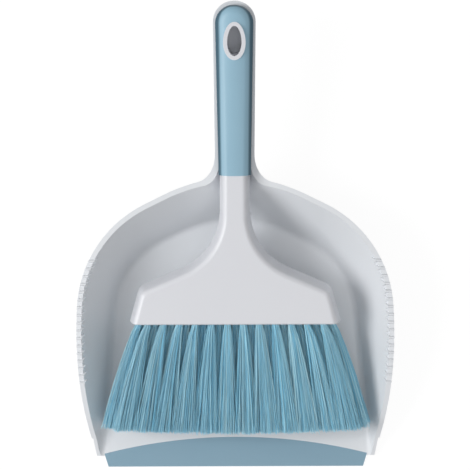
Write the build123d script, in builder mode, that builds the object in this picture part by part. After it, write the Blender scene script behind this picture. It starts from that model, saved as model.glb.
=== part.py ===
from build123d import *

import os
from math import cos, radians, sin, sqrt, tan

# A dustpan and the hand brush that rests in the pan's hollow handle.
# +X is to the right, +Y runs from the lip to the end of the handle, +Z is up.
# The origin is on the ground, under the middle of the set.
# Sizes are in millimetres and angles in degrees.

# Tray of the pan, in plan at its foot. Places are measured from the lip's front edge.
overall_length = 328.0
mouth_width = 195.6
mouth_place = 8.0
side_angle = 5.5
shoulder_angle = 25.0
shoulder_apex = 188.0
corner_radius = 62.0
back_radius = 90.0

# Tray walls and floor
wall_draft = 30.0
wall = 2.0
floor_thickness = 2.4
foot_radius = 8.0

# Rim, seen from the side. It falls towards the mouth in an arc.
rim_front_place = 21.0
rim_front_height = 9.2
mouth_wall_height = 3.2
rim_bend_place = 112.0
rim_slope = 4.5
neck_place = 200.3
neck_height = 45.6
flange_width = 1.0
flange_thickness = 2.5

# Comb that pulls fluff out of the bristles, on both side rims
tooth_count = 17
tooth_pitch = 5.45
tooth_start = 52.0
tooth_base = 3.9
tooth_flank_angle = 66.0
tooth_height = 1.5
tooth_root_depth = 1.8
tooth_overhang = 1.3

# Hollow handle of the pan, square to a plane that is tilted up from the ground
handle_tilt = 9.0
handle_neck_width = 23.8
handle_end_width = 27.8
handle_end_radius = 13.5
handle_depth = 12.7
handle_draft = 4.0
handle_edge_radius = 6.2
handle_inside_radius = 5.0
neck_radius = 16.0
neck_inside_radius = 14.0

# Soft lip, moulded on a tongue of the floor
lip_front_width = 183.0
lip_back_width = 188.6
lip_end_depth = 9.5
lip_middle_depth = 21.3
lip_edge_thickness = 1.0
tongue_thickness = 0.8
tongue_level = 0.7
tongue_root = 3.0
tongue_setback = 6.0
tongue_end_gap = 4.0

# Brush, measured on the handle's plane from the point where the neck crosses the pan's rim
rim_above_axis = 1.0
seat_gap = 0.3
keel_gap = 0.8
keel_bevel = 3.2
head_length = 96.5
head_width = 149.0
head_shoulder = 72.1
head_shoulder_width = 135.6
head_thickness = 23.0
head_draft = 14.0
head_corner_radius = 9.0
head_edge_radius = 4.2
head_foot_bevel = 0.8
head_back_bevel = 1.5
neck_corner = 47.2
brush_neck_width = 21.6
brush_neck_radius = 44.0
neck_underside_place = 20.0

# Soft grip on the brush handle
grip_seam = 8.7
grip_seam_width = 22.6
grip_end_width = 26.9
grip_end_radius = 12.6
grip_end_gap = 2.9
grip_thickness = 2.2
grip_step = 0.8
grip_edge_radius = 6.2
core_bevel = 3.6

# Hanging hole through the brush handle, egg-shaped with its narrow end at the top
hole_width = 9.9
hole_lower_length = 9.0
hole_upper_length = 11.6
hole_from_end = 27.4
ring_width = 2.8
ring_rise = 0.4

# Tufts, in rows across the head
row_counts = (12, 13, 12, 13)
row_pitch = 5.2
tuft_pitch = 11.0
tuft_hole_radius = 2.2
tuft_hole_depth = 9.0
tuft_sides = 6
tuft_root_gap = 0.1
tuft_root_rise = 1.0
bristle_length = 81.0
fan_width_ratio = 1.34
fan_depth_ratio = 1.22
strand_count = 6
strand_radius = 0.42
strand_ring_radius = 1.3
strand_root = 1.0
tuft_tip_width = 11.0
tuft_tip_depth = 5.0

# Places worked out from the sizes above
front_y = -overall_length / 2
mouth_y = front_y + mouth_place
neck_y = front_y + neck_place
tilt_sin = sin(radians(handle_tilt))
tilt_cos = cos(radians(handle_tilt))
tilted_up = Vector(0, -tilt_sin, tilt_cos)
brush_origin = Vector(0, neck_y, neck_height) - tilted_up * rim_above_axis
brush_plane = Plane(origin=brush_origin, x_dir=(1, 0, 0), z_dir=tilted_up)
upward = Axis(brush_origin, brush_plane.z_dir)
along_handle = Axis(brush_origin, brush_plane.y_dir)
flange_lean = flange_thickness * (tan(radians(handle_draft)) - tan(radians(handle_tilt)))
handle_end = (overall_length / 2 - neck_y) / tilt_cos + flange_lean * tilt_cos - flange_width
wall_run = wall / cos(radians(wall_draft))
seat_level = rim_above_axis + seat_gap
handle_underside = rim_above_axis - handle_depth
head_top = head_thickness / 2
grip_top = head_top + grip_step
grip_end = handle_end + flange_width - grip_end_gap

# Construction forms run on past what is kept of them
block_top = neck_height + 15
handle_top = rim_above_axis + 30
handle_start = -60.0
past_mouth = 40.0
past_sides = mouth_width
joint_overlap = 6.0


def tray_block(level, margin, edge_radius=0.0):
    """The tray's flared form from a level upwards, grown outwards by a margin.

    It runs on past the mouth, which is cut square later.
    """
    half = mouth_width / 2
    side_run = tan(radians(side_angle))
    shoulder_rise = tan(radians(shoulder_angle))
    depth = shoulder_apex - mouth_place
    corner_depth = (depth - half * shoulder_rise) / (1 - side_run * shoulder_rise)
    corner = (half - corner_depth * side_run, mouth_y + corner_depth)
    start = (half + past_mouth * side_run, mouth_y - past_mouth)
    growth = margin + level * tan(radians(wall_draft))
    with BuildPart() as block:
        with BuildSketch(Plane.XY.offset(level)):
            with BuildLine():
                FilletPolyline(
                    start,
                    corner,
                    (0, front_y + shoulder_apex),
                    (-corner[0], corner[1]),
                    (-start[0], start[1]),
                    radius=[corner_radius, back_radius, corner_radius],
                )
                Line((-start[0], start[1]), start)
            make_face()
            if growth:
                offset(amount=growth, kind=Kind.INTERSECTION)
        extrude(amount=block_top - level)
        draft(block.faces().sort_by(Axis.Z)[1:-1], Plane.XY.offset(level), -wall_draft)
        if edge_radius:
            fillet(block.faces().sort_by(Axis.Z)[0].edges(), edge_radius)
    return block.part


def handle_block(level, top, margin, start, side_draft=0.0, edge_radius=0.0):
    """The pan handle's form between two levels of the brush plane, grown outwards by a margin."""
    neck_half = handle_neck_width / 2
    end_half = handle_end_width / 2
    lean = (rim_above_axis - level) * tan(radians(handle_draft))
    with BuildPart() as block:
        with BuildSketch(brush_plane.offset(level)):
            with BuildLine():
                FilletPolyline(
                    (neck_half, start),
                    (end_half, handle_end),
                    (-end_half, handle_end),
                    (-neck_half, start),
                    radius=handle_end_radius,
                )
                Line((-neck_half, start), (neck_half, start))
            make_face()
            offset(amount=margin - lean, kind=Kind.INTERSECTION)
        extrude(amount=top - level)
        if side_draft:
            draft(block.faces().sort_by(upward)[1:-1], brush_plane.offset(level), -side_draft)
        if edge_radius:
            fillet(block.faces().sort_by(upward)[0].edges(), edge_radius)
    return block.part


def pan_form(tray_level, handle_level, tray_margin, handle_margin, tray_edge, handle_edge, neck):
    """Tray and handle as one closed form, blended at the neck and taller than the rim."""
    with BuildPart() as form:
        add(tray_block(tray_level, tray_margin, tray_edge))
        add(
            handle_block(
                handle_level, handle_top, handle_margin, handle_start, handle_draft, handle_edge
            )
        )
        meeting = form.edges(Select.NEW).filter_by_position(Axis.Z, 0, block_top - 1)
        fillet(meeting, neck)
    return form.part


def egg(margin):
    """Outline of the hanging hole, grown by a margin."""
    half = hole_width / 2 + margin
    centre = (0, handle_end - hole_from_end)
    with BuildSketch() as outline:
        with BuildLine():
            EllipticalCenterArc(centre, half, hole_upper_length + margin, 0, arc_size=180)
            EllipticalCenterArc(centre, half, hole_lower_length + margin, 180, arc_size=180)
        make_face()
    return outline.sketch


# The rim in side view, from the neck down to the mouth
neck_point = (neck_y, neck_height)
bend_run = neck_place - rim_bend_place
bend_point = (neck_y - bend_run, neck_height - bend_run * tan(radians(rim_slope)))
rim_front_point = (front_y + rim_front_place, rim_front_height)
rim_heading = (-cos(radians(rim_slope)), -sin(radians(rim_slope)))


def draw_rim():
    """The rim's line in the side view at hand."""
    Line(neck_point, bend_point)
    TangentArc(bend_point, rim_front_point, tangent=rim_heading)


def below_rim(drop):
    """All that lies below the rim when it is lowered by a drop, from the mouth to past the handle."""
    end_run = overall_length
    end_point = (neck_y + end_run, neck_height + end_run * tan(radians(handle_tilt)))
    with BuildPart() as slab:
        with BuildSketch(Plane(origin=(0, 0, -drop), x_dir=(0, 1, 0), z_dir=(1, 0, 0))):
            with BuildLine():
                draw_rim()
                Polyline(
                    neck_point,
                    end_point,
                    (end_point[0], -past_mouth),
                    (mouth_y, -past_mouth),
                    (mouth_y, mouth_wall_height),
                    rim_front_point,
                )
            make_face()
        extrude(amount=past_sides, both=True)
    return slab.part


# Flange that stiffens the rim of tray and handle
with BuildPart() as flange:
    add(
        pan_form(
            0,
            handle_underside,
            flange_width,
            flange_width,
            foot_radius,
            handle_edge_radius,
            neck_radius,
        )
    )
    add(below_rim(0), mode=Mode.INTERSECT)
    add(below_rim(flange_thickness), mode=Mode.SUBTRACT)
    split(bisect_by=Plane.XZ.offset(-rim_front_point[0]), keep=Keep.BOTTOM)

# Comb teeth, evenly spaced along the rim and leaning in over the tray
with BuildLine(Plane.YZ) as rim:
    draw_rim()
rim_line = rim.wire()
with BuildPart() as comb:
    for tooth in range(tooth_count):
        distance = tooth_start + tooth * tooth_pitch
        spot = rim_line.position_at(distance, PositionMode.LENGTH)
        heading = rim_line.tangent_at(distance, PositionMode.LENGTH)
        with BuildSketch(Plane(origin=spot, x_dir=heading, z_dir=(-1, 0, 0))):
            with Locations((0, -tooth_root_depth)):
                Trapezoid(
                    tooth_base,
                    tooth_height + tooth_root_depth,
                    tooth_flank_angle,
                    align=(Align.CENTER, Align.MIN),
                )
    extrude(amount=past_sides, both=True)
    add(tray_block(0, flange_width - tooth_height * tan(radians(wall_draft))), mode=Mode.INTERSECT)
    add(tray_block(0, -wall_run - tooth_overhang), mode=Mode.SUBTRACT)


def lip_plan(setback, end_gap, overlap):
    """Outline of the lip, drawn in at its front and ends and run on at the back."""
    back_half = lip_back_width / 2 - end_gap
    front_half = lip_front_width / 2 - end_gap
    end_y = front_y + lip_end_depth + overlap
    middle_y = front_y + lip_middle_depth + overlap
    with BuildSketch() as outline:
        with BuildLine():
            ThreePointArc((-back_half, end_y), (0, middle_y), (back_half, end_y))
            Polyline(
                (back_half, end_y),
                (front_half, front_y + setback),
                (-front_half, front_y + setback),
                (-back_half, end_y),
            )
        make_face()
    return outline.sketch


# Tongue at the front of the floor that the lip is moulded round
with BuildPart() as tongue:
    with BuildSketch(Plane.XY.offset(tongue_level)):
        add(lip_plan(tongue_setback, tongue_end_gap, tongue_root))
    extrude(amount=tongue_thickness)

# Pan: tray and handle are one moulding
with BuildPart() as pan_tray:
    add(pan_form(0, handle_underside, 0, 0, foot_radius, handle_edge_radius, neck_radius))
    add(below_rim(0), mode=Mode.INTERSECT)
    add(flange.part)
    add(
        pan_form(
            floor_thickness,
            handle_underside + wall,
            -wall_run,
            -wall,
            foot_radius - wall,
            handle_inside_radius,
            neck_inside_radius,
        ),
        mode=Mode.SUBTRACT,
    )
    with BuildSketch():
        add(lip_plan(0, 0, 0))
    extrude(amount=floor_thickness + wall, mode=Mode.SUBTRACT)
    add(tongue.part)
    add(comb.part)

# Soft lip that lies flat on the ground
with BuildPart() as pan_lip:
    with BuildSketch():
        add(lip_plan(0, 0, 0))
    extrude(amount=floor_thickness)
    with BuildSketch(Plane.YZ):
        Polygon(
            (front_y, 0),
            (front_y, lip_edge_thickness),
            (mouth_y, floor_thickness),
            (neck_y, floor_thickness),
            (neck_y, 0),
            align=None,
        )
    extrude(amount=past_sides, both=True, mode=Mode.INTERSECT)
    add(tongue.part, mode=Mode.SUBTRACT)


def grip_block(inset, start, bottom):
    """The form of the brush handle above a level: round on top, or bevelled where it is drawn in."""
    seam_half = grip_seam_width / 2
    end_half = grip_end_width / 2
    with BuildPart() as block:
        with BuildSketch(brush_plane.offset(bottom)):
            with BuildLine():
                FilletPolyline(
                    (seam_half, start),
                    (end_half, grip_end),
                    (-end_half, grip_end),
                    (-seam_half, start),
                    radius=grip_end_radius,
                )
                Line((-seam_half, start), (seam_half, start))
            make_face()
            if inset:
                offset(amount=-inset, kind=Kind.INTERSECTION)
        extrude(amount=grip_top - inset - bottom)
        crown = block.faces().sort_by(upward)[-1].edges().sort_by(along_handle)[1:]
        if inset > 0:
            chamfer(crown, core_bevel)
        else:
            fillet(crown, grip_edge_radius - inset)
    return block.part


# Ring of the brush body that shows through the grip round the hanging hole
with BuildPart() as ring:
    with BuildSketch(brush_plane.offset(seat_level)):
        add(egg(ring_width))
    extrude(amount=head_thickness)
    add(grip_block(-ring_rise, grip_seam, seat_level), mode=Mode.INTERSECT)

# Keel of the brush body, which lies in the pan's handle
keel_foot = handle_underside + wall + keel_gap
with BuildPart() as keel:
    add(handle_block(keel_foot, seat_level, -wall - keel_gap, -neck_underside_place - joint_overlap))
    chamfer(keel.faces().sort_by(upward)[0].edges(), keel_bevel)

# Rows of tufts on the foot of the head, with every other row set half a pitch over
foot_origin = brush_plane.from_local_coords((0, -head_length, 0))
foot_plane = Plane(origin=foot_origin, x_dir=brush_plane.x_dir, z_dir=-brush_plane.y_dir)
tuft_spots = {}
for row, count in enumerate(row_counts):
    level = ((len(row_counts) - 1) / 2 - row) * row_pitch
    for place in range(count):
        across = (place - (count - 1) / 2) * tuft_pitch
        tuft_spots[f"tuft_{row + 1}_{place + 1:02d}"] = (across, level)


def head_plan():
    """Outline of the brush's head and neck where its two mould halves meet."""
    with BuildSketch() as outline:
        with BuildLine():
            FilletPolyline(
                (head_width / 2, -head_length),
                (head_shoulder_width / 2, -head_shoulder),
                (brush_neck_width / 2, -neck_corner),
                (brush_neck_width / 2, grip_seam),
                radius=[head_corner_radius, brush_neck_radius],
            )
            Line((brush_neck_width / 2, grip_seam), (0, grip_seam))
            Line((0, -head_length), (head_width / 2, -head_length))
            mirror(about=Plane.YZ)
        make_face()
    return outline.sketch


# Brush body: head, neck, keel and the core of the grip are one moulding
core = grip_block(grip_thickness, grip_seam - joint_overlap, seat_level - joint_overlap)
with BuildPart() as brush_body:
    with BuildSketch(brush_plane):
        add(head_plan())
    extrude(amount=head_top)
    flanks = brush_body.faces().filter_by(upward, reverse=True).sort_by(along_handle)[1:-1]
    draft(flanks, brush_plane, head_draft)
    front_edges = brush_body.faces().sort_by(upward)[-1].edges().sort_by(along_handle)
    fillet(front_edges[1:-1], head_edge_radius)
    with BuildSketch(brush_plane):
        add(head_plan())
    extrude(amount=-head_top)
    back_edges = brush_body.faces().sort_by(upward)[0].edges().sort_by(along_handle)
    chamfer(back_edges[1:-1], head_back_bevel)
    chamfer(brush_body.faces().sort_by(along_handle)[0].edges(), head_foot_bevel)
    with BuildSketch(brush_plane.offset(seat_level)):
        with Locations((0, -neck_underside_place)):
            Rectangle(head_width, overall_length, align=(Align.CENTER, Align.MIN))
    extrude(amount=-head_thickness, mode=Mode.SUBTRACT)
    add(core)
    add(keel.part)
    add(ring.part)
    with BuildSketch(brush_plane):
        add(egg(0))
    extrude(amount=head_thickness, both=True, mode=Mode.SUBTRACT)
    with BuildSketch(foot_plane):
        with Locations(*tuft_spots.values()):
            RegularPolygon(tuft_hole_radius, tuft_sides)
    extrude(amount=-tuft_hole_depth, mode=Mode.SUBTRACT)

# Soft grip, moulded over the core
with BuildPart() as brush_grip:
    add(grip_block(0, grip_seam, seat_level))
    add(core, mode=Mode.SUBTRACT)
    with BuildSketch(brush_plane):
        add(egg(ring_width))
    extrude(amount=head_thickness, both=True, mode=Mode.SUBTRACT)


def tuft_strands(across, level):
    """The strands of a tuft: one in the middle and a ring that spreads into an oval at the tips."""
    lean = (across * (fan_width_ratio - 1), level * (fan_depth_ratio - 1))
    foot_height = tuft_root_rise - strand_root
    tip_height = sqrt(bristle_length**2 - lean[0] ** 2 - lean[1] ** 2)
    feet = [(0, 0)]
    tips = [(0, 0)]
    for index in range(strand_count - 1):
        turn = radians(index * 360 / (strand_count - 1))
        feet.append((strand_ring_radius * cos(turn), strand_ring_radius * sin(turn)))
        tips.append((tuft_tip_width / 2 * cos(turn), tuft_tip_depth / 2 * sin(turn)))
    strands = []
    for foot, tip in zip(feet, tips):
        with BuildSketch(foot_plane.offset(foot_height)) as outline:
            with Locations((across + foot[0], level + foot[1])):
                RegularPolygon(strand_radius, 3)
        reach = Vector(lean[0] + tip[0] - foot[0], lean[1] + tip[1] - foot[1], tip_height - foot_height)
        heading = foot_plane.from_local_coords(reach) - foot_origin
        strands.append(extrude(outline.sketch, amount=reach.length, dir=heading))
    return strands


os.makedirs("parts", exist_ok=True)

pan_tray.part.label = "pan_tray"
export_step(pan_tray.part, "parts/pan_tray.step")
pan_lip.part.label = "pan_lip"
export_step(pan_lip.part, "parts/pan_lip.step")
brush_body.part.label = "brush_body"
export_step(brush_body.part, "parts/brush_body.step")
brush_grip.part.label = "brush_grip"
export_step(brush_grip.part, "parts/brush_grip.step")

# Each tuft: strands that are fused to the packed root in its hole
for name, spot in tuft_spots.items():
    strands = tuft_strands(*spot)
    with BuildPart() as tuft:
        with BuildSketch(foot_plane.offset(-tuft_hole_depth)):
            with Locations(spot):
                RegularPolygon(tuft_hole_radius - tuft_root_gap, tuft_sides)
        extrude(amount=tuft_hole_depth + tuft_root_rise)
        add(strands)
    tuft.part.label = name
    export_step(tuft.part, f"parts/{name}.step")
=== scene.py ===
from math import cos, pi, radians, sin

import bpy
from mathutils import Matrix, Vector


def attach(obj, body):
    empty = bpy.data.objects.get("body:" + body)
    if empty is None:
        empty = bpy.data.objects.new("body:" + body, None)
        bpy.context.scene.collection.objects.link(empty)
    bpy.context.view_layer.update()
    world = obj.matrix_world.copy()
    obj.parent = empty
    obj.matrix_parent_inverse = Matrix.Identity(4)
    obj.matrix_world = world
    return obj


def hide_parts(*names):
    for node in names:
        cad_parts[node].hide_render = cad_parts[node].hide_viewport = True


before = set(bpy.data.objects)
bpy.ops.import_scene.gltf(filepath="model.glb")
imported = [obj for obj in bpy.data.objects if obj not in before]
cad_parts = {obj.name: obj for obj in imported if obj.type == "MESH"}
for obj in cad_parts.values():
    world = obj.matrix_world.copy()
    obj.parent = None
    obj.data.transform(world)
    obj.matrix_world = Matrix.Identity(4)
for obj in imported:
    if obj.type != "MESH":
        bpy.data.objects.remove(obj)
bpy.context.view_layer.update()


# Pan: tray, rim, comb and hollow handle are one injection moulding in white polypropylene.
# The polished mould leaves a satin skin with a faint orange peel and slow swells of gloss.
white_ior = 1.49
swells_on_white = 14.0  # per metre, as all the scales below
swell_detail = 3.0
gloss_swing = 0.10
peel_scale = 900.0
peel_detail = 2.0
peel_strength = 0.06
peel_height = 0.0004
weld_distance = 1e-6
crease_angle = radians(28.0)
flat_face_weight = 100


class Wire:
    """A value on its way through a node tree: arithmetic on it adds Math nodes."""

    def __init__(self, tree, socket=None):
        self.tree = tree
        self.socket = socket

    def node(self, kind, settings=None, sockets=None, take=0):
        """Adds any node: its settings first, then values or links for its sockets."""
        made = self.tree.nodes.new(kind)
        for name, value in (settings or {}).items():
            setattr(made, name, value)
        for key, value in (sockets or {}).items():
            if isinstance(key, int):
                target = made.inputs[key]
            else:
                target = next(s for s in made.inputs if key in (s.identifier, s.name))
            if isinstance(value, Wire):
                self.tree.links.new(value.socket, target)
            else:
                target.default_value = value
        if take is None:
            return made
        if isinstance(take, int):
            return Wire(self.tree, made.outputs[take])
        return Wire(self.tree, next(s for s in made.outputs if take in (s.identifier, s.name)))

    def math(self, operation, first, second=0.0):
        return self.node("ShaderNodeMath", {"operation": operation}, {0: first, 1: second})

    def __add__(self, other):
        return self.math("ADD", self, other)

    def __radd__(self, other):
        return self.math("ADD", other, self)

    def __sub__(self, other):
        return self.math("SUBTRACT", self, other)

    def __rsub__(self, other):
        return self.math("SUBTRACT", other, self)

    def __mul__(self, other):
        return self.math("MULTIPLY", self, other)

    def __rmul__(self, other):
        return self.math("MULTIPLY", other, self)

    def __truediv__(self, other):
        return self.math("DIVIDE", self, other)

    def __pow__(self, other):
        return self.math("POWER", self, other)


def noise(wire, scale, detail):
    """Cloudy value from 0 to 1 in the piece's own coordinates."""
    place = wire.node("ShaderNodeTexCoord", take="Object")
    return wire.node("ShaderNodeTexNoise", {}, {"Vector": place, "Scale": scale, "Detail": detail})


def blend(wire, factor, first, second):
    """Colour between two colours."""
    sockets = {"Factor_Float": factor, "A_Color": first, "B_Color": second}
    return wire.node("ShaderNodeMix", {"data_type": "RGBA"}, sockets, "Result_Color")


def relief(wire, height, strength, distance):
    """Bump from a value between 0 and 1, as high as a distance in metres."""
    sockets = {"Height": height, "Strength": strength, "Distance": distance}
    return wire.node("ShaderNodeBump", {}, sockets, "Normal")


def start_finish(name):
    """A new finish with a Principled shader: returns it, a wire to its tree and the shader."""
    finish = bpy.data.materials.new(name)
    finish.use_nodes = True
    tree = finish.node_tree
    return finish, Wire(tree), tree.nodes["Principled BSDF"]


def plug(shader, **values):
    """Links wires to the shader's sockets and sets plain values; underscores stand for spaces."""
    for name, value in values.items():
        socket = shader.inputs[name.replace("_", " ")]
        if isinstance(value, Wire):
            value.tree.links.new(value.socket, socket)
        else:
            socket.default_value = value


def moulded_white(name, bright, shaded, roughness):
    """White polypropylene: slow swells of tone and gloss, fine orange peel."""
    finish, wire, shader = start_finish(name)
    swell = noise(wire, swells_on_white, swell_detail)
    peel = noise(wire, peel_scale, peel_detail)
    plug(
        shader,
        Base_Color=blend(wire, swell, shaded, bright),
        Roughness=roughness + (swell - 0.5) * gloss_swing,
        Normal=relief(wire, peel, peel_strength, peel_height),
        IOR=white_ior,
    )
    return finish


def round_off(node, crown):
    """Shades a CAD node smoothly, with creases only where its faces meet at a sharp angle.

    A crown first moves the skin where one is given.
    """
    tree = bpy.data.node_groups.new("smooth_skin", "GeometryNodeTree")
    for way in ("INPUT", "OUTPUT"):
        tree.interface.new_socket("Geometry", in_out=way, socket_type="NodeSocketGeometry")
    wire = Wire(tree)
    skin = wire.node("NodeGroupInput")
    skin = wire.node(
        "GeometryNodeMergeByDistance", {}, {"Geometry": skin, "Distance": weld_distance}
    )
    if crown:
        skin = crown(wire, skin)
    skin = wire.node("GeometryNodeSetShadeSmooth", {"domain": "FACE"}, {"Geometry": skin})
    bend = wire.node("GeometryNodeInputMeshEdgeAngle")
    crease = wire.node(
        "FunctionNodeCompare", {"operation": "GREATER_THAN"}, {"A": bend, "B": crease_angle}
    )
    skin = wire.node(
        "GeometryNodeSetShadeSmooth",
        {"domain": "EDGE"},
        {"Geometry": skin, "Selection": crease, "Shade Smooth": False},
    )
    wire.node("NodeGroupOutput", {}, {"Geometry": skin}, None)
    node.modifiers.new("smooth_skin", "NODES").node_group = tree
    weighted = node.modifiers.new("flat_faces_stay_flat", "WEIGHTED_NORMAL")
    weighted.keep_sharp = True
    weighted.weight = flat_face_weight


def dress(node_name, finish, crown=None):
    """Gives a CAD node its finish and a smooth skin."""
    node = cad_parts[node_name]
    node.data.materials.clear()
    node.data.materials.append(finish)
    round_off(node, crown)


pan_white = moulded_white(
    "pan_white",
    bright=(0.83, 0.85, 0.88, 1.0),
    shaded=(0.79, 0.815, 0.845, 1.0),
    roughness=0.40,
)
dress("pan_tray", pan_white)


# Lip: soft thermoplastic rubber, moulded round the tongue at the front of the floor.
# It is dull, with the fine grain of an etched mould.
rubber_ior = 1.5
swells_on_rubber = 22.0
grain_scale = 2200.0
grain_detail = 1.0
grain_height = 0.0003
grain_in_colour = 0.3
grain_in_gloss = 0.12


def soft_rubber(name, bright, shaded, roughness, grain_strength, painted_shade=None):
    """Blue rubber with an etched grain, and painted shade on its flanks where one is given."""
    finish, wire, shader = start_finish(name)
    swell = noise(wire, swells_on_rubber, swell_detail)
    grain = noise(wire, grain_scale, grain_detail)
    tone = swell * (1.0 - grain_in_colour) + grain * grain_in_colour
    colour = blend(wire, tone, shaded, bright)
    # Painted shade, where one is given: a darker colour below the crown stands in for shadow
    if painted_shade:
        colour = painted_shade(wire, colour)
    plug(
        shader,
        Base_Color=colour,
        Roughness=roughness + (grain - 0.5) * grain_in_gloss,
        Normal=relief(wire, grain, grain_strength, grain_height),
        IOR=rubber_ior,
    )
    return finish


lip_blue = soft_rubber(
    "lip_blue",
    bright=(0.27, 0.42, 0.52, 1.0),
    shaded=(0.235, 0.38, 0.48, 1.0),
    roughness=0.62,
    grain_strength=0.25,
)
dress("pan_lip", lip_blue)


# Brush body: head, neck, keel and core of the grip, one white polypropylene moulding.
# It lies loose in the pan's hollow handle, and its skin is a little glossier than the pan's.
body_white = moulded_white(
    "body_white",
    bright=(0.78, 0.79, 0.825, 1.0),
    shaded=(0.74, 0.75, 0.79, 1.0),
    roughness=0.34,
)
dress("brush_body", body_white)


# Grip: satin thermoplastic rubber, moulded over the core of the brush handle.
# Its top is slightly crowned, its flanks carry painted shade, a darker blue standing for the
# shadow in the groove by the pan's rim, and it leaves a white ring bare round the hanging hole.
brush_tilt = radians(9.0)
handle_axis_at = (0.0, 0.036456, 0.044612)
handle_up = (0.0, -sin(brush_tilt), cos(brush_tilt))
grip_top = 0.0123
grip_edge_radius = 0.0062
crown_radius = 0.022
crown_cuts = 2
# Painted shade on the grip's flanks: full below the first level, gone above the second, in this
# darker blue
shade_full_below = 0.0083
shade_ends_above = 0.0099
flank_painted_shade = (0.030, 0.095, 0.140, 1.0)


def grip_level(wire, place):
    """Height above the handle's axis, square to the handle."""
    level = wire.node(
        "ShaderNodeVectorMath", {"operation": "DOT_PRODUCT"}, {0: place, 1: handle_up}, "Value"
    )
    return level - sum(a * b for a, b in zip(handle_axis_at, handle_up))


def grip_crown(wire, skin):
    """Rounds the top of the grip across its width."""
    skin = wire.node("GeometryNodeSubdivideMesh", {}, {"Mesh": skin, "Level": crown_cuts})
    place = wire.node("GeometryNodeInputPosition")
    across = wire.node("ShaderNodeSeparateXYZ", {}, {"Vector": place}, "X")
    share = wire.node(
        "ShaderNodeMapRange",
        {},
        {
            "Value": grip_level(wire, place),
            "From Min": grip_top - grip_edge_radius,
            "From Max": grip_top,
        },
    )
    drop = wire.node(
        "ShaderNodeVectorMath",
        {"operation": "SCALE"},
        {"Vector": handle_up, "Scale": across * across * share * (-0.5 / crown_radius)},
    )
    return wire.node("GeometryNodeSetPosition", {}, {"Geometry": skin, "Offset": drop})


def grip_painted_shade(wire, top_colour):
    """Painted shade: darker blue on the flanks below the crown, for the shadow in the groove by
    the pan's rim.
    """
    place = wire.node("ShaderNodeTexCoord", take="Object")
    # The painted shade fades out with height above the handle's axis
    height = wire.node(
        "ShaderNodeMapRange",
        {"interpolation_type": "SMOOTHSTEP"},
        {"Value": grip_level(wire, place), "From Min": shade_full_below, "From Max": shade_ends_above},
    )
    return blend(wire, height, flank_painted_shade, top_colour)


grip_blue = soft_rubber(
    "grip_blue",
    bright=(0.32, 0.52, 0.64, 1.0),
    shaded=(0.28, 0.47, 0.59, 1.0),
    roughness=0.44,
    grain_strength=0.06,
    painted_shade=grip_painted_shade,
)
dress("brush_grip", grip_blue, grip_crown)


# Tufts: drawn nylon filament, folded over wire and stapled into the holes in the head's foot.
# Each tuft leaves its hole as a tight bundle, leans out from the middle and fans open.
foot_middle = (0.0, -0.058856, 0.029517)
row_counts = (12, 13, 12, 13)
row_pitch = 0.0052
first_seed = 7
seed_step = 100
tuft_stray = 0.0012
tuft_sizes = {
    "Pitch": 0.0110,
    "Length": 0.0798,
    "Sunk": 0.0030,
    "Fan Width": 0.318,
    "Fan Depth": 0.10,
    "Root Radius": 0.0021,
    "Tip Width": 0.0096,
    "Tip Depth": 0.0047,
    "Wave": 0.0007,
    "Uneven": 0.0016,
    "Thickness": 0.00018,
}

# Strands stick together in clumps: a value is part the strand's own and part its clump's
strands_per_tuft = 220
strands_per_clump = 9.0
first_clump_number = 5000.0
own_tip_width, own_tip_depth, clump_tip = 0.55, 0.6, 0.5
own_root, clump_root = 0.8, 0.2
own_tone, clump_tone = 0.6, 0.4
clump_uneven = 0.6
strand_points = 8
strand_sides = 3
strand_taper = 0.3
fan_curve = 0.8

nylon_ior = 1.53
nylon_roughness = 0.36
deep_blue = (0.27, 0.69, 0.91, 1.0)
pale_blue = (0.58, 0.89, 0.98, 1.0)
deepest_tone, palest_tone = 0.2, 0.8


def filament_finish():
    """Nylon filament: each strand has its own tone."""
    finish, wire, shader = start_finish("bristle_blue")
    tone = wire.node("ShaderNodeAttribute", {"attribute_name": "tone"}, {}, "Fac")
    streak = wire.node(
        "ShaderNodeMapRange",
        {},
        {"Value": tone, "From Min": deepest_tone, "From Max": palest_tone},
    )
    plug(
        shader,
        Base_Color=blend(wire, streak, deep_blue, pale_blue),
        Roughness=nylon_roughness,
        IOR=nylon_ior,
    )
    return finish


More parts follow.
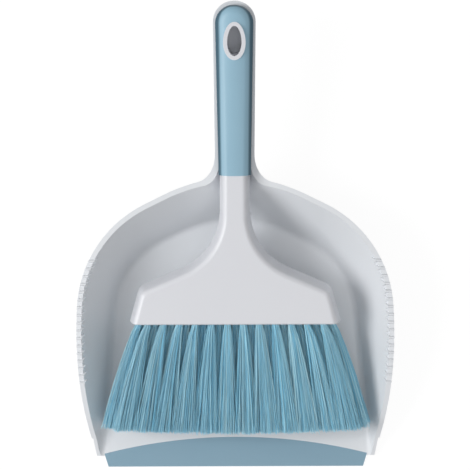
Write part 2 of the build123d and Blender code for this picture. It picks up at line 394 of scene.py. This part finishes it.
def tuft_tree(finish):
    """Node tree that makes one row of tufts on the foot of the head."""
    tree = bpy.data.node_groups.new("tuft_row", "GeometryNodeTree")

    def add_input(name, kind):
        return tree.interface.new_socket(name, in_out="INPUT", socket_type=kind)

    sockets = {name: add_input(name, "NodeSocketInt") for name in ("Tufts", "Strands", "Seed")}
    for name in ("Level", *tuft_sizes):
        sockets[name] = add_input(name, "NodeSocketFloat")
    tree.interface.new_socket("Geometry", in_out="OUTPUT", socket_type="NodeSocketGeometry")
    wire = Wire(tree)
    entry = tree.nodes.new("NodeGroupInput")
    given = {name: Wire(tree, entry.outputs[name]) for name in sockets}

    def chance(number, draw, low=0.0, high=1.0):
        """Random value for a numbered strand, clump or tuft; no two draws share their values."""
        return wire.node(
            "FunctionNodeRandomValue",
            {"data_type": "FLOAT"},
            {"Min_001": low, "Max_001": high, "ID": number, "Seed": given["Seed"] + draw},
            "Value_001",
        )

    def either_way(number, draw, most=1.0):
        """Random value on both sides of 0."""
        return chance(number, draw, -most, most)

    def vector(x, y, z):
        return wire.node("ShaderNodeCombineXYZ", {}, {"X": x, "Y": y, "Z": z})

    def keep(geometry, name, value, kind):
        return wire.node(
            "GeometryNodeStoreNamedAttribute",
            {"data_type": kind, "domain": "POINT"},
            {"Geometry": geometry, "Name": name, "Value": value},
        )

    def recall(name):
        return wire.node(
            "GeometryNodeInputNamedAttribute", {"data_type": "FLOAT_VECTOR"}, {"Name": name}
        )

    # One point for each strand, numbered by tuft and by clump
    points = wire.node("GeometryNodePoints", {}, {"Count": given["Tufts"] * given["Strands"]})
    number = wire.node("GeometryNodeInputIndex")
    tuft = wire.math("FLOOR", (number + 0.5) / given["Strands"])
    clump = wire.math("FLOOR", (number + 0.5) / strands_per_clump) + first_clump_number
    middle = (tuft - (given["Tufts"] - 1.0) * 0.5) * given["Pitch"]
    own_x, own_y = either_way(number, 11), either_way(number, 13)
    clump_x, clump_y = either_way(clump, 21), either_way(clump, 23)

    # Root: places on a square are drawn in to the round hole
    packed_x = own_x * own_root + clump_x * clump_root
    packed_y = own_y * own_root + clump_y * clump_root
    round_x = packed_x * wire.math("SQRT", 1.0 - packed_y * packed_y * 0.5)
    round_y = packed_y * wire.math("SQRT", 1.0 - packed_x * packed_x * 0.5)
    root_x = middle + round_x * given["Root Radius"]
    root_y = given["Level"] + round_y * given["Root Radius"]
    root_z = -1.0 * given["Sunk"]

    # Tip: the tuft leans out as a whole, and its strands spread
    spread_x = own_x * own_tip_width + clump_x * clump_tip
    spread_y = own_y * own_tip_depth + clump_y * clump_tip
    lean_x = middle * given["Fan Width"] + either_way(tuft, 31, tuft_stray)
    lean_y = given["Level"] * given["Fan Depth"]
    tip_x = middle + lean_x + spread_x * given["Tip Width"]
    tip_y = given["Level"] + lean_y + spread_y * given["Tip Depth"]
    length = given["Length"]
    slant = wire.math("SQRT", length * length - lean_x * lean_x - lean_y * lean_y)
    uneven = given["Uneven"]
    tip_z = slant - chance(number, 41) * uneven - chance(clump, 43) * uneven * clump_uneven

    wave_x = either_way(number, 51) * given["Wave"]
    wave_y = either_way(number, 53) * given["Wave"]
    tone = chance(number, 61) * own_tone + chance(clump, 63) * clump_tone
    points = keep(points, "root", vector(root_x, root_y, root_z), "FLOAT_VECTOR")
    points = keep(points, "tip", vector(tip_x, tip_y, tip_z), "FLOAT_VECTOR")
    points = keep(points, "wave", vector(wave_x, wave_y, 0.0), "FLOAT_VECTOR")
    points = keep(points, "tone", tone, "FLOAT")

    # A line for each strand, bent from its root to its tip with one soft wave
    line = wire.node("GeometryNodeCurvePrimitiveLine", {}, {"End": (0.0, 0.0, 1.0)})
    line = wire.node("GeometryNodeResampleCurve", {}, {"Curve": line, "Count": strand_points})
    strands = wire.node("GeometryNodeInstanceOnPoints", {}, {"Points": points, "Instance": line})
    strands = wire.node("GeometryNodeRealizeInstances", {}, {"Geometry": strands})
    along = wire.node("GeometryNodeSplineParameter", {}, {}, "Factor")
    root, tip = recall("root"), recall("tip")
    opening = along**fan_curve
    run = wire.node("ShaderNodeVectorMath", {"operation": "SUBTRACT"}, {0: tip, 1: root})
    fanned = wire.node(
        "ShaderNodeVectorMath",
        {"operation": "MULTIPLY_ADD"},
        {0: run, 1: vector(opening, opening, along), 2: root},
    )
    bow = wire.math("SINE", along * pi)
    sway = wire.node(
        "ShaderNodeVectorMath", {"operation": "SCALE"}, {"Vector": recall("wave"), "Scale": bow}
    )
    shape = wire.node("ShaderNodeVectorMath", {"operation": "ADD"}, {0: fanned, 1: sway})
    strands = wire.node("GeometryNodeSetPosition", {}, {"Geometry": strands, "Position": shape})

    # A thin tapering skin round each line, set on the foot of the head
    girth = given["Thickness"] * (1.0 - along * strand_taper)
    ring = wire.node(
        "GeometryNodeCurvePrimitiveCircle", {}, {"Resolution": strand_sides, "Radius": 1.0}
    )
    skin = wire.node(
        "GeometryNodeCurveToMesh",
        {},
        {"Curve": strands, "Profile Curve": ring, "Scale": girth, "Fill Caps": True},
    )
    to_front = (pi / 2 + brush_tilt, 0.0, 0.0)
    skin = wire.node(
        "GeometryNodeTransform",
        {},
        {"Geometry": skin, "Translation": foot_middle, "Rotation": to_front},
    )
    skin = wire.node("GeometryNodeSetShadeSmooth", {"domain": "FACE"}, {"Geometry": skin})
    skin = wire.node("GeometryNodeRealizeInstances", {}, {"Geometry": skin})
    skin = wire.node("GeometryNodeSetMaterial", {}, {"Geometry": skin, "Material": finish})
    wire.node("NodeGroupOutput", {}, {"Geometry": skin}, None)
    return tree, {name: socket.identifier for name, socket in sockets.items()}


bristle_blue = filament_finish()
row_tree, row_inputs = tuft_tree(bristle_blue)
for row, tufts in enumerate(row_counts):
    maker = bpy.data.objects.new("row_maker", bpy.data.meshes.new("row_maker"))
    bpy.context.scene.collection.objects.link(maker)
    modifier = maker.modifiers.new("tufts", "NODES")
    modifier.node_group = row_tree
    modifier[row_inputs["Tufts"]] = tufts
    modifier[row_inputs["Strands"]] = strands_per_tuft
    modifier[row_inputs["Seed"]] = seed_step * row + first_seed
    modifier[row_inputs["Level"]] = ((len(row_counts) - 1) / 2 - row) * row_pitch
    for name, size in tuft_sizes.items():
        modifier[row_inputs[name]] = size
    made = maker.evaluated_get(bpy.context.evaluated_depsgraph_get())
    mesh = bpy.data.meshes.new_from_object(made)
    bpy.data.objects.remove(maker)
    bristles = bpy.data.objects.new(f"bristle_row_{row + 1}", mesh)
    bpy.context.scene.collection.objects.link(bristles)
    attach(bristles, "brush")
    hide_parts(*[f"tuft_{row + 1}_{place + 1:02d}" for place in range(tufts)])


# Studio: white floor, a soft lamp on the left, a weaker one above and pale surroundings.
# The camera looks straight down, as in the photograph.
black, white = (0.0, 0.0, 0.0, 1.0), (1.0, 1.0, 1.0, 1.0)
floor_half = 3.0
floor_level = -0.0002
floor_grey = (0.12, 0.12, 0.12, 1.0)
floor_glow = 0.93
ambient = 0.41
lamp_aim = Vector((0.0, 0.0, 0.02))
camera_place = (0.0, 0.00235, 1.5)
camera_turn = radians(-0.2)
view_angle = radians(12.87)
view_depth = 20.0


def seen_directly(wire):
    """1 for rays from the camera and in mirrors and glass, else 0."""
    rays = wire.tree.nodes.new("ShaderNodeLightPath")
    total = Wire(wire.tree, rays.outputs["Is Camera Ray"])
    for name in ("Is Glossy Ray", "Is Transmission Ray"):
        total = wire.math("MAXIMUM", total, Wire(wire.tree, rays.outputs[name]))
    return total


floor_mesh = bpy.data.meshes.new("floor")
corners = [
    (x * floor_half, y * floor_half, floor_level) for x, y in ((-1, -1), (1, -1), (1, 1), (-1, 1))
]
floor_mesh.from_pydata(corners, [], [(0, 1, 2, 3)])
floor = bpy.data.objects.new("floor", floor_mesh)
bpy.context.scene.collection.objects.link(floor)
floor_white, wire, shader = start_finish("floor_white")
plug(
    shader,
    Base_Color=floor_grey,
    Roughness=0.9,
    Specular_IOR_Level=0.0,
    Emission_Color=blend(wire, seen_directly(wire), black, white),
    Emission_Strength=floor_glow,
)
floor_mesh.materials.append(floor_white)

world = bpy.data.worlds.new("studio")
world.use_nodes = True
bpy.context.scene.world = world
wire = Wire(world.node_tree)
plug(
    world.node_tree.nodes["Background"],
    Color=white,
    Strength=ambient + seen_directly(wire) * (1.0 - ambient),
)


def soft_lamp(name, place, size, power):
    """Square area lamp that points at the set."""
    data = bpy.data.lights.new(name, "AREA")
    data.size = size
    data.energy = power
    lamp = bpy.data.objects.new(name, data)
    lamp.location = place
    lamp.rotation_euler = (lamp_aim - Vector(place)).to_track_quat("-Z", "Y").to_euler()
    bpy.context.scene.collection.objects.link(lamp)


soft_lamp("key_left", (-1.40, -0.05, 1.25), size=0.8, power=19.5)
soft_lamp("fill_above", (0.50, -0.75, 1.60), size=1.2, power=3.6)

camera_data = bpy.data.cameras.new("camera")
camera_data.angle = view_angle
camera_data.clip_end = view_depth
camera = bpy.data.objects.new("camera", camera_data)
camera.location = camera_place
camera.rotation_euler = (0.0, 0.0, camera_turn)
bpy.context.scene.collection.objects.link(camera)
bpy.context.scene.camera = camera
bpy.context.scene.view_settings.view_transform = "Standard"
